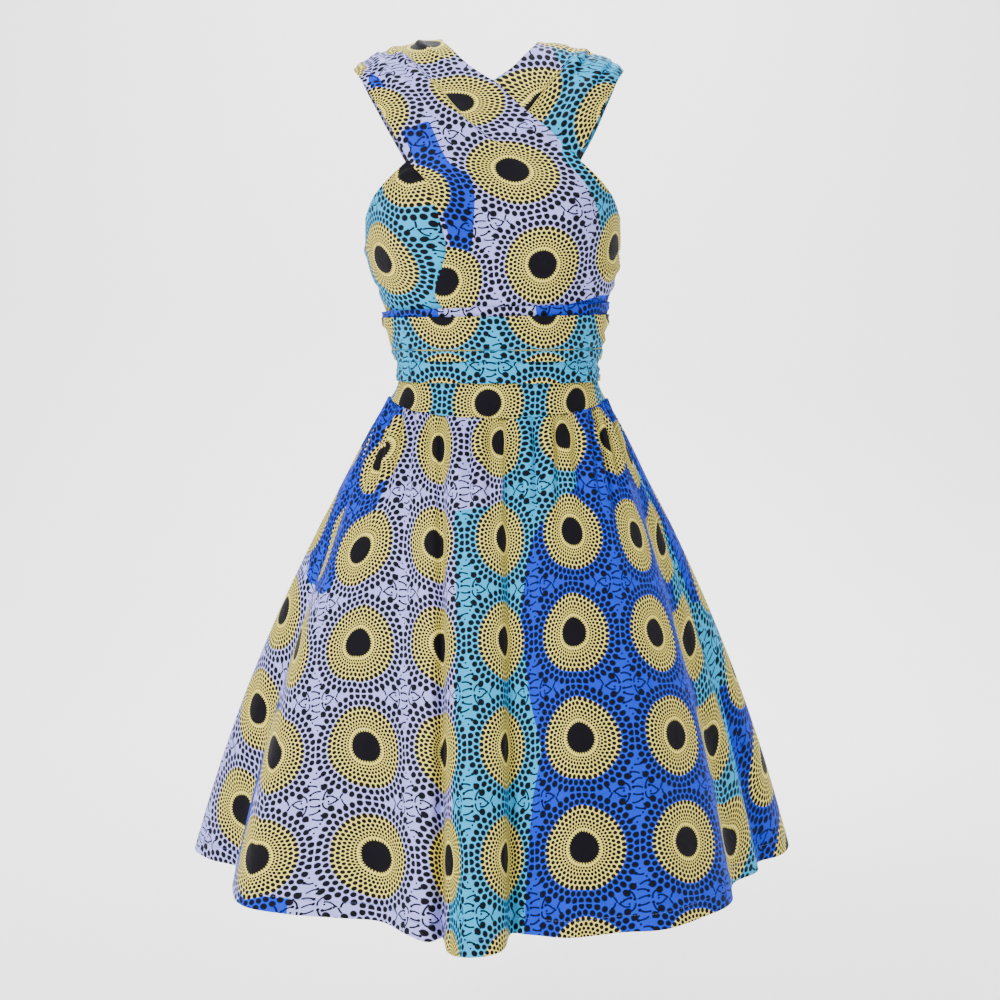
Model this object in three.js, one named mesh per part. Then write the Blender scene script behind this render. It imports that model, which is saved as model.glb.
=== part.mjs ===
// Sleeveless wrap dress: gathered knee-length skirt, waistband, and two wide straps that
// cross at the chest, pass under the arms, cross at the back and wind round the waist.
// Millimetres. +Z up, front faces -Y, +X is the wearer's left. Origin between the shoulder
// straps, where the wearer's shoulders carry the dress.
import * as THREE from 'three';

// ---- driving dimensions -------------------------------------------------------------
const WALL = 1.6;            // cloth wall
const PLY = 3.0;             // pitch of one layer of cloth over the next
const SEAM = 0.35;           // gap left at every seam
const SECTION = 2.25;        // squareness of the body section (2 = ellipse)
const BUST = { out: 24, side: 72, drop: 196, wide: 46, tall: 56 };
const BAND_TOP = 362;        // drop of the waistband's top edge
const SEAM_SIDE = 393;       // drop of the skirt seam at the sides
const SEAM_DIP = 18;         // how much lower the seam lies at centre front
const HEM = 917;             // drop of the hem
const CROWD = 1.4;           // above 1, a strap's stations lie closer towards its far end
const RUN_PER_DEGREE = 6;    // cloth run counted for each degree of turn
const SIDE_GAP = 4;          // cloth run left out at each end of a skirt panel
const GATHER_FADE = 150;     // drop below the seam at which the gathers have run out
const GATHERS = {            // pitch: degrees of turn. rise: height in mm
  front: { pitch: 9.6, rise: 3.6 },
  back: { pitch: 13, rise: 3.4 },
};

// Body inside the dress, one row per level. drop: below the shoulder, + front, - back.
// reach/rise: y and z of the centre line. facing: 0 front, 90 up, 180 back.
// half: half width. round: depth of the section. mid: sideways lean.
const BODY = [
  { drop: -430, reach: 108, rise: -430, facing: 180, half: 139, round: 108, mid: 5 },
  { drop: -408, reach: 96, rise: -408, facing: 180, half: 127, round: 96, mid: 5 },
  { drop: -385, reach: 84, rise: -385, facing: 180, half: 112, round: 84, mid: 6 },
  { drop: -345, reach: 80, rise: -345, facing: 180, half: 107, round: 80, mid: 5 },
  { drop: -322, reach: 82, rise: -322, facing: 180, half: 112, round: 82, mid: 4 },
  { drop: -290, reach: 88, rise: -290, facing: 180, half: 122, round: 88, mid: 1 },
  { drop: -240, reach: 96, rise: -240, facing: 180, half: 137, round: 96, mid: -1 },
  { drop: -190, reach: 98, rise: -190, facing: 178, half: 137, round: 98, mid: -2 },
  { drop: -140, reach: 92, rise: -142, facing: 172, half: 145, round: 90, mid: 0 },
  { drop: -90, reach: 76, rise: -90, facing: 160, half: 155, round: 74, mid: 0 },
  { drop: -45, reach: 52, rise: -42, facing: 138, half: 159, round: 66, mid: -2 },
  { drop: -15, reach: 24, rise: -8, facing: 112, half: 162, round: 64, mid: -3 },
  { drop: 0, reach: 0, rise: 2, facing: 90, half: 163, round: 64, mid: -3 },
  { drop: 15, reach: -26, rise: -7, facing: 64, half: 162, round: 64, mid: -3 },
  { drop: 45, reach: -54, rise: -38, facing: 42, half: 159, round: 68, mid: -2 },
  { drop: 90, reach: -78, rise: -86, facing: 24, half: 155, round: 76, mid: 0 },
  { drop: 140, reach: -94, rise: -140, facing: 10, half: 145, round: 92, mid: 0 },
  { drop: 190, reach: -102, rise: -190, facing: 1, half: 137, round: 102, mid: -2 },
  { drop: 240, reach: -103, rise: -240, facing: 0, half: 137, round: 103, mid: -1 },
  { drop: 290, reach: -98, rise: -290, facing: 0, half: 122, round: 98, mid: 1 },
  { drop: 322, reach: -93, rise: -322, facing: 0, half: 112, round: 93, mid: 4 },
  { drop: 345, reach: -90, rise: -345, facing: 0, half: 107, round: 90, mid: 5 },
  { drop: 385, reach: -91, rise: -385, facing: 0, half: 112, round: 91, mid: 6 },
  { drop: 408, reach: -100, rise: -408, facing: 0, half: 127, round: 100, mid: 5 },
  { drop: 430, reach: -108, rise: -430, facing: 0, half: 139, round: 108, mid: 5 },
];

// Front stretch of a strap from its shoulder to the other side, one row per station:
// turn and drop of the neck edge and of the outer edge.
const STRAP_FRONT = [
  { neckTurn: -16.5, neckDrop: 0, outTurn: -64, outDrop: 0 },
  { neckTurn: -14.5, neckDrop: 15, outTurn: -62, outDrop: 18 },
  { neckTurn: -7.5, neckDrop: 38, outTurn: -54, outDrop: 48 },
  { neckTurn: 1.5, neckDrop: 60, outTurn: -45, outDrop: 84 },
  { neckTurn: 9, neckDrop: 83, outTurn: -38, outDrop: 114 },
  { neckTurn: 21, neckDrop: 108, outTurn: -31, outDrop: 140 },
  { neckTurn: 34, neckDrop: 134, outTurn: -23, outDrop: 162 },
  { neckTurn: 48, neckDrop: 154, outTurn: -18, outDrop: 196 },
  { neckTurn: 60, neckDrop: 169, outTurn: -16, outDrop: 228 },
  { neckTurn: 70, neckDrop: 183, outTurn: -19, outDrop: 250 },
  { neckTurn: 78, neckDrop: 191, outTurn: -25, outDrop: 284 },
  { neckTurn: 85, neckDrop: 194, outTurn: -8, outDrop: 314 },
  { neckTurn: 93, neckDrop: 194, outTurn: 45, outDrop: 321 },
  { neckTurn: 102, neckDrop: 192, outTurn: 102, outDrop: 322 },
];

// Back stretch of a strap from its shoulder down to the waistband past the centre.
const STRAP_BACK = [
  { neckTurn: -16.5, neckDrop: 0, outTurn: -64, outDrop: 0 },
  { neckTurn: -13, neckDrop: -20, outTurn: -60, outDrop: -22 },
  { neckTurn: -8, neckDrop: -50, outTurn: -52, outDrop: -60 },
  { neckTurn: -2, neckDrop: -85, outTurn: -44, outDrop: -98 },
  { neckTurn: 4, neckDrop: -120, outTurn: -36, outDrop: -136 },
  { neckTurn: 12, neckDrop: -170, outTurn: -26, outDrop: -180 },
  { neckTurn: 20, neckDrop: -230, outTurn: -16, outDrop: -235 },
  { neckTurn: 28, neckDrop: -285, outTurn: -6, outDrop: -285 },
  { neckTurn: 33, neckDrop: -330, outTurn: 3, outDrop: -330 },
  { neckTurn: 36, neckDrop: -361, outTurn: 8, outDrop: -361 },
];

// Lengthwise soft folds in a strap: across is 0 at the neck edge, 1 at the outer edge. They
// run out at `over` of the top strap's length, and at `under` where the other strap covers.
const STRAP_FOLDS = [
  { across: 0.17, wide: 0.06, rise: 1.6, over: 0.34, under: 0.16 },
  { across: 0.44, wide: 0.05, rise: 3.0, over: 0.62, under: 0.24 },
  { across: 0.68, wide: 0.06, rise: 2.0, over: 0.40, under: 0.28 },
  { across: 0.88, wide: 0.05, rise: 1.6, over: 0.55, under: 0.32 },
];

// Hem of the skirt, one row per fold crest, flank or hollow, from the wearer's right seam
// across the front and on round the back. out: how far forward. dip: how much longer.
// turn: where that line of cloth meets the waistband.
const FRONT_FOLDS = [
  { name: 'right_seam', x: -335, out: -45, dip: 0, turn: -97 },
  { name: 'side_crest', x: -345, out: 8, dip: 0, turn: -91 },
  { name: 'side_flank', x: -320, out: 50, dip: 0, turn: -85 },
  { name: 'side_hollow', x: -286, out: 78, dip: 0, turn: -80 },
  { name: 'panel_return', x: -282, out: 140, dip: 0, turn: -78 },
  { name: 'panel_crest', x: -270, out: 194, dip: 0, turn: -74 },
  { name: 'panel_right', x: -214, out: 234, dip: 0, turn: -60 },
  { name: 'panel_mid', x: -156, out: 246, dip: 0, turn: -48 },
  { name: 'panel_left', x: -110, out: 260, dip: 0, turn: -38 },
  { name: 'ridge', x: -80, out: 296, dip: 2, turn: -32 },
  { name: 'ridge_end', x: -63, out: 306, dip: 4, turn: -28 },
  { name: 'pipe_hollow', x: -50, out: 292, dip: 4, turn: -25 },
  { name: 'pipe_right', x: -43, out: 322, dip: 8, turn: -21 },
  { name: 'pipe_crest', x: -17, out: 338, dip: 8, turn: -10 },
  { name: 'pipe_left', x: 11, out: 320, dip: 6, turn: 0 },
  { name: 'pipe_foot', x: 18, out: 288, dip: 2, turn: 4 },
  { name: 'wide_start', x: 38, out: 296, dip: 0, turn: 10 },
  { name: 'wide_crest', x: 76, out: 305, dip: 0, turn: 23 },
  { name: 'wide_mid', x: 131, out: 289, dip: 0, turn: 38 },
  { name: 'wide_left', x: 172, out: 282, dip: 0, turn: 50 },
  { name: 'wide_slope', x: 214, out: 246, dip: 0, turn: 62 },
  { name: 'wide_end', x: 252, out: 196, dip: 0, turn: 73 },
  { name: 'step_hollow', x: 262, out: 134, dip: 0, turn: 78 },
  { name: 'step_crest', x: 294, out: 92, dip: 0, turn: 83 },
  { name: 'step_end', x: 300, out: 58, dip: 0, turn: 87 },
  { name: 'last_flank', x: 328, out: 34, dip: 0, turn: 90 },
  { name: 'last_crest', x: 345, out: -14, dip: 0, turn: 94 },
  { name: 'left_seam', x: 339, out: -56, dip: 0, turn: 97 },
];
const BACK_FOLDS = [
  { name: 'left_seam', x: 339, out: -56, dip: 0, turn: 97 },
  { name: 'hollow_1', x: 308, out: -92, dip: 0, turn: 102 },
  { name: 'crest_1', x: 306, out: -146, dip: 0, turn: 108 },
  { name: 'crest_1b', x: 272, out: -194, dip: 0, turn: 115 },
  { name: 'hollow_2', x: 222, out: -204, dip: 0, turn: 123 },
  { name: 'crest_2', x: 196, out: -256, dip: 0, turn: 131 },
  { name: 'crest_2b', x: 146, out: -272, dip: 0, turn: 140 },
  { name: 'hollow_3', x: 102, out: -246, dip: 0, turn: 149 },
  { name: 'crest_3', x: 76, out: -290, dip: 0, turn: 158 },
  { name: 'crest_3b', x: 30, out: -306, dip: 0, turn: 168 },
  { name: 'hollow_4', x: -14, out: -262, dip: 0, turn: 177 },
  { name: 'crest_4', x: -54, out: -296, dip: 0, turn: 187 },
  { name: 'crest_4b', x: -104, out: -292, dip: 0, turn: 198 },
  { name: 'hollow_5', x: -134, out: -244, dip: 0, turn: 208 },
  { name: 'crest_5', x: -184, out: -254, dip: 0, turn: 219 },
  { name: 'crest_5b', x: -230, out: -228, dip: 0, turn: 230 },
  { name: 'hollow_6', x: -242, out: -178, dip: 0, turn: 239 },
  { name: 'crest_6', x: -292, out: -156, dip: 0, turn: 248 },
  { name: 'crest_6b', x: -326, out: -112, dip: 0, turn: 256 },
  { name: 'hollow_7', x: -312, out: -76, dip: 0, turn: 260 },
  { name: 'right_seam', x: -335, out: -45, dip: 0, turn: 263 },
];

// Cloth wound round the waist and back, one row per stretch: turns at its two ends, top
// and bottom drop at those ends, the layer it lies on at each end and the part of its
// length over which it climbs from one to the other. roll: height of its soft folds.
const WRAPS = [
  { name: 'wrap_underbust_front', colour: 'blue', from: -98, to: 98, top: [298, 285],
    foot: [326, 326], layer: [2, 2], climb: [0, 1], cols: 32, rows: 2, roll: 0 },
  { name: 'wrap_upper_front', colour: 'aqua', from: -102, to: 102, top: [304, 299],
    foot: [350, 350], layer: [3, 3], climb: [0, 1], cols: 36, rows: 8, roll: 1.2 },
  { name: 'wrap_lower_front', colour: 'aqua', from: -102, to: 102, top: [344, 344],
    foot: [374, 374], layer: [2, 2], climb: [0, 1], cols: 36, rows: 5, roll: 0.8 },
  { name: 'wrap_cross_over_back', colour: 'aqua', from: 102, to: 258, top: [192, 304],
    foot: [322, 350], layer: [1, 3], climb: [0, 0.08], cols: 24, rows: 5, roll: 0 },
  { name: 'wrap_cross_under_back', colour: 'lavender', from: 258, to: 102, top: [192, 344],
    foot: [322, 374], layer: [0, 2], climb: [0, 0.08], cols: 24, rows: 5, roll: 0 },
  { name: 'wrap_upper_end_back', colour: 'aqua', from: 102, to: 172, top: [299, 301],
    foot: [350, 344], layer: [3, 4.2], climb: [0, 0.3], cols: 14, rows: 3, roll: 0 },
  { name: 'wrap_lower_end_back', colour: 'aqua', from: 258, to: 128, top: [344, 344],
    foot: [374, 374], layer: [2, 3], climb: [0.27, 0.48], cols: 22, rows: 3, roll: 0 },
];

const COLOURS = { blue: '#2a57d6', aqua: '#62c2e2', lavender: '#b6b2e8' };

// ---- helpers ------------------------------------------------------------------------
const rad = (deg) => deg * Math.PI / 180;
const mix = (a, b, t) => a + (b - a) * t;
const clamp = (v, lo = 0, hi = 1) => Math.min(hi, Math.max(lo, v));
const soft = (lo, hi, v) => {
  const t = clamp((v - lo) / (hi - lo));
  return t * t * (3 - 2 * t);
};
const bell = (v, centre, wide) => Math.exp(-(((v - centre) / wide) ** 2));
const power = (v, p) => Math.sign(v) * Math.abs(v) ** p;

// Smooth curve through the rows of a table, read at `at` of its column `key`.
function along(rows, keyOf, column, at) {
  let i = 0;
  while (i < rows.length - 2 && keyOf(i + 1) < at) i += 1;
  const slope = (j) => (rows[j + 1][column] - rows[j][column]) / (keyOf(j + 1) - keyOf(j));
  const tangent = (j) => {
    if (j === 0) return slope(0);
    if (j === rows.length - 1) return slope(j - 1);
    const a = keyOf(j) - keyOf(j - 1);
    const b = keyOf(j + 1) - keyOf(j);
    return (slope(j) * a + slope(j - 1) * b) / (a + b);
  };
  const h = keyOf(i + 1) - keyOf(i);
  const t = clamp((at - keyOf(i)) / h);
  const t2 = t * t;
  const t3 = t2 * t;
  return (2 * t3 - 3 * t2 + 1) * rows[i][column] + (t3 - 2 * t2 + t) * h * tangent(i)
    + (3 * t2 - 2 * t3) * rows[i + 1][column] + (t3 - t2) * h * tangent(i + 1);
}

// Point on the body form, `out` mm off it. turn: degrees from centre front, past 90 = back.
function form(turn, drop, out) {
  if (turn > 180) return form(turn - 360, drop, out);
  if (Math.abs(turn) > 90) return form(Math.sign(turn) * 180 - turn, -drop, out);
  const at = (column) => along(BODY, (i) => BODY[i].drop, column, drop);
  const face = rad(at('facing'));
  const ny = -Math.cos(face);
  const nz = Math.sin(face);
  const s = Math.sin(rad(turn));
  const c = Math.cos(rad(turn));
  const x = at('half') * power(s, 2 / SECTION) + at('mid');
  const fall = at('round') * (1 - power(c, 2 / SECTION));
  let lift = out;
  if (drop > 0) {
    const tall = bell(drop, BUST.drop, BUST.tall);
    lift += BUST.out * tall * (bell(x, BUST.side, BUST.wide) + bell(x, -BUST.side, BUST.wide));
  }
  return new THREE.Vector3(
    x + s * lift,
    at('reach') - ny * fall + ny * c * lift,
    at('rise') - nz * fall + nz * c * lift,
  );
}

// Closed wall of cloth on the surface point(u, v), u and v in 0..1. Its outside is on the
// du x dv side, or on the other one if `side` is -1.
function cloth(point, cols, rows, side = 1, wall = WALL) {
  const w = cols + 1;
  const inner = [];
  for (let j = 0; j <= rows; j += 1) {
    for (let i = 0; i <= cols; i += 1) inner.push(point(i / cols, j / rows));
  }
  const near = (i, j) => inner[clamp(j, 0, rows) * w + clamp(i, 0, cols)].clone();
  const outer = inner.map((p, k) => {
    const i = k % w;
    const j = (k - i) / w;
    const du = near(i + 1, j).sub(near(i - 1, j));
    const dv = near(i, j + 1).sub(near(i, j - 1));
    return du.cross(dv).normalize().multiplyScalar(side * wall).add(p);
  });
  const points = outer.concat(inner);
  const index = [];
  const back = w * (rows + 1);
  const quad = (a, b, c, d) => {
    if (side > 0) index.push(a, b, c, a, c, d);
    else index.push(a, c, b, a, d, c);
  };
  for (let j = 0; j < rows; j += 1) {
    for (let i = 0; i < cols; i += 1) {
      const a = j * w + i;
      quad(a, a + 1, a + 1 + w, a + w);
      quad(back + a + w, back + a + 1 + w, back + a + 1, back + a);
    }
  }
  for (let i = 0; i < cols; i += 1) {
    const top = rows * w + i;
    quad(back + i, back + i + 1, i + 1, i);
    quad(top, top + 1, back + top + 1, back + top);
  }
  for (let j = 0; j < rows; j += 1) {
    const a = j * w;
    const b = j * w + cols;
    quad(a, a + w, back + a + w, back + a);
    quad(back + b, back + b + w, b + w, b);
  }
  const geometry = new THREE.BufferGeometry();
  const flat = points.flatMap((p) => [p.x, p.y, p.z]);
  geometry.setAttribute('position', new THREE.Float32BufferAttribute(flat, 3));
  geometry.setIndex(index);
  geometry.computeVertexNormals();
  return geometry;
}

const dress = new THREE.Group();
dress.name = 'wrap_dress';
function add(name, colour, geometry) {
  const material = new THREE.MeshStandardMaterial({
    color: COLOURS[colour], roughness: 0.82, metalness: 0,
  });
  const mesh = new THREE.Mesh(geometry, material);
  mesh.name = name;
  dress.add(mesh);
}

// ---- straps -------------------------------------------------------------------------
// hand: +1 from the wearer's right shoulder, -1 from the left. layer: plies off the body.
function strap(rows, hand, layer, cols, across) {
  const last = rows.length - 1;
  const step = (i) => i / last;
  return cloth((w, v) => {
    const u = 1 - (1 - w) ** CROWD;
    const at = (column) => along(rows, step, column, u);
    const neck = [at('neckTurn'), at('neckDrop')];
    const outer = [at('outTurn'), at('outDrop')];
    let lift = layer * PLY;
    for (const f of STRAP_FOLDS) {
      const end = layer > 0 ? f.over : f.under;
      lift += f.rise * (1 - soft(end * 0.4, end, u)) * bell(v, f.across, f.wide);
    }
    const start = SEAM * (1 - u) ** 6 * Math.sign(rows[1].neckDrop);
    const turn = mix(neck[0], outer[0], v) * hand;
    return form(turn, mix(neck[1], outer[1], v) + start, lift);
  }, cols, across, -hand * Math.sign(rows[1].neckDrop));
}
add('strap_right_front', 'lavender', strap(STRAP_FRONT, 1, 1.04, 40, 12));
add('strap_left_front', 'aqua', strap(STRAP_FRONT, -1, 0, 36, 11));
add('strap_right_back', 'lavender', strap(STRAP_BACK, 1, 1, 16, 7));
add('strap_left_back', 'aqua', strap(STRAP_BACK, -1, 0, 16, 7));

// ---- cloth wound round the waist ----------------------------------------------------
for (const w of WRAPS) {
  const hand = Math.sign(w.to - w.from);
  const gap = 1.4 * SEAM * hand;
  const geometry = cloth((u, v) => {
    const turn = mix(w.from + gap, w.to - gap, u);
    const lie = mix(w.layer[0], w.layer[1], soft(w.climb[0], w.climb[1], u));
    const fold = 0.5 - 0.5 * Math.cos(v * Math.PI * 6 + Math.sin(u * 5));
    const drop = mix(mix(w.top[0], w.top[1], u), mix(w.foot[0], w.foot[1], u), v);
    return form(turn, drop, lie * PLY + w.roll * fold);
  }, w.cols, w.rows, -hand);
  add(w.name, w.colour, geometry);
}

// ---- waistband ----------------------------------------------------------------------
const seamDrop = (turn) => SEAM_SIDE + SEAM_DIP * Math.max(0, Math.cos(rad(turn))) ** 1.5;
function band(from, to, cols) {
  return cloth((u, v) => {
    const turn = mix(from, to, u);
    return form(turn, mix(BAND_TOP, seamDrop(turn), v), PLY);
  }, cols, 3, -1);
}
add('waistband_front', 'aqua', band(-96.9, 96.9, 36));
add('waistband_back', 'aqua', band(97.1, 262.9, 28));

// ---- skirt --------------------------------------------------------------------------
// Runs along the cloth, shared out between its length at the hem and its turn at the waist.
function hemLine(folds) {
  const run = [0];
  for (let i = 1; i < folds.length; i += 1) {
    const a = folds[i - 1];
    const b = folds[i];
    const hem = Math.hypot(b.x - a.x, b.out - a.out);
    run.push(run[i - 1] + hem + RUN_PER_DEGREE * (b.turn - a.turn));
  }
  return { folds, run, length: run[run.length - 1] };
}
function skirt(folds, gather, cols, rows) {
  const line = hemLine(folds);
  return cloth((u, w) => {
    const v = w ** 1.5;
    const s = mix(SIDE_GAP, line.length - SIDE_GAP, u);
    const at = (column) => along(folds, (i) => line.run[i], column, s);
    const turn = at('turn');
    const top = seamDrop(turn) + 3 * SEAM;
    const waist = form(turn, top, PLY);
    const fall = v * (1 + 0.38 * (1 - v));
    const below = v * (HEM - top);
    const lap = turn / gather.pitch * Math.PI * 2 + 0.9 * Math.sin(turn * 0.11);
    const ease = (0.25 + 0.75 * soft(0, 26, below)) * (1 - soft(30, GATHER_FADE, below));
    const ripple = gather.rise * ease * Math.sin(lap);
    const a = rad(turn);
    return new THREE.Vector3(
      mix(waist.x, at('x'), fall) + Math.sin(a) * ripple,
      mix(waist.y, -at('out'), fall) - Math.cos(a) * ripple,
      -top - v * (HEM + at('dip') - top),
    );
  }, cols, rows, -1);
}
add('skirt_front', 'blue', skirt(FRONT_FOLDS, GATHERS.front, 110, 9));
add('skirt_back', 'blue', skirt(BACK_FOLDS, GATHERS.back, 82, 7));

export default dress;
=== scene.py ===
from math import pi, radians

import bmesh
import bpy
import numpy as np
from mathutils import Matrix, Vector


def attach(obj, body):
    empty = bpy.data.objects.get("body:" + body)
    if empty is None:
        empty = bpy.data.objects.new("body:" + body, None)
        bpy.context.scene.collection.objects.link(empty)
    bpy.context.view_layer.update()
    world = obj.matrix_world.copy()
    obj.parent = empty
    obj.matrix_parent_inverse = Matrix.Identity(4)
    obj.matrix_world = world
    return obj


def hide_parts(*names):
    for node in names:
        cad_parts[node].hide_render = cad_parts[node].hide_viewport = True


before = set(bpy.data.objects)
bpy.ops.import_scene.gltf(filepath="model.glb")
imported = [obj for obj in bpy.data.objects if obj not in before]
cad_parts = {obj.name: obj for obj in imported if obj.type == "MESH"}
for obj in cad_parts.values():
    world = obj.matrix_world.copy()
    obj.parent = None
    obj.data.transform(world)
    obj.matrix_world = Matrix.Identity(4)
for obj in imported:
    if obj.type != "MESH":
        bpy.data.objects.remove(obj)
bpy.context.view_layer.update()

MM = 0.001

# Sleeveless wrap dress of printed cotton, in metres. +Z up, front faces -Y, +X is the
# wearer's left. Every sheet of cloth is a closed thin wall laid on a surface that is worked
# out in millimetres, and carries its own place on the flat printed cloth.


# ---- geometry start -----------------------------------------------------------------
WALL = 1.0                   # drawn wall of one sheet of cloth
LIFT = 0.3                   # how far its inner face lies off the surface
PLY = 3.0                    # pitch of one layer of cloth over the next
SEAM = 0.35
SECTION = 2.25               # squareness of the body section
BUST = {"out": 24, "side": 72, "drop": 196, "wide": 46, "tall": 56}
BAND_TOP = 362
SEAM_SIDE = 393
SEAM_DIP = 18
HEM = 917
RUN_PER_DEGREE = 6
SIDE_GAP = 1.5
GATHER_FADE = 150


def table(columns, *rows):
    """Rows of numbers under their column names, one array a column."""
    return {name: np.array([row[i] for row in rows], float)
            for i, name in enumerate(columns.split())}


BODY = table(
    "drop reach rise facing half round mid",
    (-430, 108, -430, 180, 139, 108, 5),
    (-408, 96, -408, 180, 127, 96, 5),
    (-385, 84, -385, 180, 112, 84, 6),
    (-345, 80, -345, 180, 107, 80, 5),
    (-322, 82, -322, 180, 112, 82, 4),
    (-290, 88, -290, 180, 122, 88, 1),
    (-240, 96, -240, 180, 137, 96, -1),
    (-190, 98, -190, 178, 137, 98, -2),
    (-140, 92, -142, 172, 145, 90, 0),
    (-90, 76, -90, 160, 155, 74, 0),
    (-45, 52, -42, 138, 159, 66, -2),
    (-15, 24, -8, 112, 162, 64, -3),
    (0, 0, 2, 90, 163, 64, -3),
    (15, -26, -7, 64, 162, 64, -3),
    (45, -54, -38, 42, 159, 68, -2),
    (90, -78, -86, 24, 155, 76, 0),
    (140, -94, -140, 10, 145, 92, 0),
    (190, -102, -190, 1, 137, 102, -2),
    (240, -103, -240, 0, 137, 103, -1),
    (290, -98, -290, 0, 122, 98, 1),
    (322, -93, -322, 0, 112, 93, 4),
    (345, -90, -345, 0, 107, 90, 5),
    (385, -91, -385, 0, 112, 91, 6),
    (408, -100, -408, 0, 127, 100, 5),
    (430, -108, -430, 0, 139, 108, 5),
)

STRAP_FRONT = table(
    "neckTurn neckDrop outTurn outDrop",
    (-16.5, 0, -64, 0),
    (-14.5, 15, -62, 18),
    (-7.5, 38, -54, 48),
    (1.5, 60, -45, 84),
    (9, 83, -38, 114),
    (21, 108, -31, 140),
    (34, 134, -23, 162),
    (48, 154, -18, 196),
    (60, 169, -16, 228),
    (70, 183, -19, 250),
    (78, 191, -25, 284),
    (85, 194, -8, 314),
    (93, 194, 45, 321),
    (102, 192, 102, 322),
)

STRAP_BACK = table(
    "neckTurn neckDrop outTurn outDrop",
    (-16.5, 0, -64, 0),
    (-13, -20, -60, -22),
    (-8, -50, -52, -60),
    (-2, -85, -44, -98),
    (4, -120, -36, -136),
    (12, -170, -26, -180),
    (20, -230, -16, -235),
    (28, -285, -6, -285),
    (33, -330, 3, -330),
    (36, -361, 8, -361),
)

STRAP_FOLDS = table(
    "across wide rise over under",
    (0.17, 0.06, 1.6, 0.34, 0.16),
    (0.44, 0.05, 3.0, 0.62, 0.24),
    (0.68, 0.06, 2.0, 0.40, 0.28),
    (0.88, 0.05, 1.6, 0.55, 0.32),
)

FRONT_FOLDS = table(
    "x out dip turn",
    (-335, -45, 0, -97),
    (-345, 8, 0, -91),
    (-320, 50, 0, -85),
    (-286, 78, 0, -80),
    (-282, 140, 0, -78),
    (-270, 194, 0, -74),
    (-214, 234, 0, -60),
    (-156, 246, 0, -48),
    (-110, 260, 0, -38),
    (-80, 296, 2, -32),
    (-63, 306, 4, -28),
    (-50, 292, 4, -25),
    (-43, 322, 8, -21),
    (-17, 338, 8, -10),
    (11, 320, 6, 0),
    (18, 288, 2, 4),
    (38, 296, 0, 10),
    (76, 305, 0, 23),
    (131, 289, 0, 38),
    (172, 282, 0, 50),
    (214, 246, 0, 62),
    (252, 196, 0, 73),
    (262, 134, 0, 78),
    (294, 92, 0, 83),
    (300, 58, 0, 87),
    (328, 34, 0, 90),
    (345, -14, 0, 94),
    (339, -56, 0, 97),
)

BACK_FOLDS = table(
    "x out dip turn",
    (339, -56, 0, 97),
    (308, -92, 0, 102),
    (306, -146, 0, 108),
    (272, -194, 0, 115),
    (222, -204, 0, 123),
    (196, -256, 0, 131),
    (146, -272, 0, 140),
    (102, -246, 0, 149),
    (76, -290, 0, 158),
    (30, -306, 0, 168),
    (-14, -262, 0, 177),
    (-54, -296, 0, 187),
    (-104, -292, 0, 198),
    (-134, -244, 0, 208),
    (-184, -254, 0, 219),
    (-230, -228, 0, 230),
    (-242, -178, 0, 239),
    (-292, -156, 0, 248),
    (-326, -112, 0, 256),
    (-312, -76, 0, 260),
    (-335, -45, 0, 263),
)

# Cloth wound round the waist and back: turns at its two ends, top and bottom drop at those
# ends, the layer it lies on at each end and where it climbs from one to the other.
WRAPS = {
    "wrap_underbust_front": {"ends": (-98, 98), "top": (298, 285), "foot": (326, 326),
                             "layer": (2, 2), "climb": (0, 1), "roll": 0},
    "wrap_upper_front": {"ends": (-102, 102), "top": (304, 299), "foot": (350, 350),
                         "layer": (3, 3), "climb": (0, 1), "roll": 1.2},
    "wrap_lower_front": {"ends": (-102, 102), "top": (344, 344), "foot": (374, 374),
                         "layer": (2, 2), "climb": (0, 1), "roll": 0.8},
    "wrap_cross_over_back": {"ends": (102, 258), "top": (192, 304), "foot": (322, 350),
                             "layer": (1, 3), "climb": (0, 0.08), "roll": 0},
    "wrap_cross_under_back": {"ends": (258, 102), "top": (192, 344), "foot": (322, 374),
                              "layer": (0, 2), "climb": (0, 0.08), "roll": 0},
    "wrap_upper_end_back": {"ends": (102, 172), "top": (299, 301), "foot": (350, 344),
                            "layer": (3, 4.2), "climb": (0, 0.3), "roll": 0},
    "wrap_lower_end_back": {"ends": (258, 128), "top": (344, 344), "foot": (374, 374),
                            "layer": (2, 3), "climb": (0.27, 0.48), "roll": 0},
}


def mix(a, b, t):
    return a + (b - a) * t


def soft(lo, hi, v):
    """0 below lo, 1 above hi, and smooth between them."""
    t = np.clip((v - lo) / (hi - lo), 0, 1)
    return t * t * (3 - 2 * t)


def bell(v, centre, wide):
    return np.exp(-(((v - centre) / wide) ** 2))


def power(v, p):
    return np.sign(v) * np.abs(v) ** p


def along(keys, values, at):
    """Smooth curve through the values at the keys, read at `at`."""
    keys = np.asarray(keys, float)
    gap = np.diff(keys)
    slope = np.diff(values) / gap
    middle = (slope[1:] * gap[:-1] + slope[:-1] * gap[1:]) / (gap[:-1] + gap[1:])
    tangent = np.concatenate([slope[:1], middle, slope[-1:]])
    i = np.clip(np.searchsorted(keys[1:], at, side="left"), 0, len(keys) - 2)
    t = np.clip((at - keys[i]) / gap[i], 0, 1)
    t2, t3 = t * t, t * t * t
    return ((2 * t3 - 3 * t2 + 1) * values[i] + (t3 - 2 * t2 + t) * gap[i] * tangent[i]
            + (3 * t2 - 2 * t3) * values[i + 1] + (t3 - t2) * gap[i] * tangent[i + 1])


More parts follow.
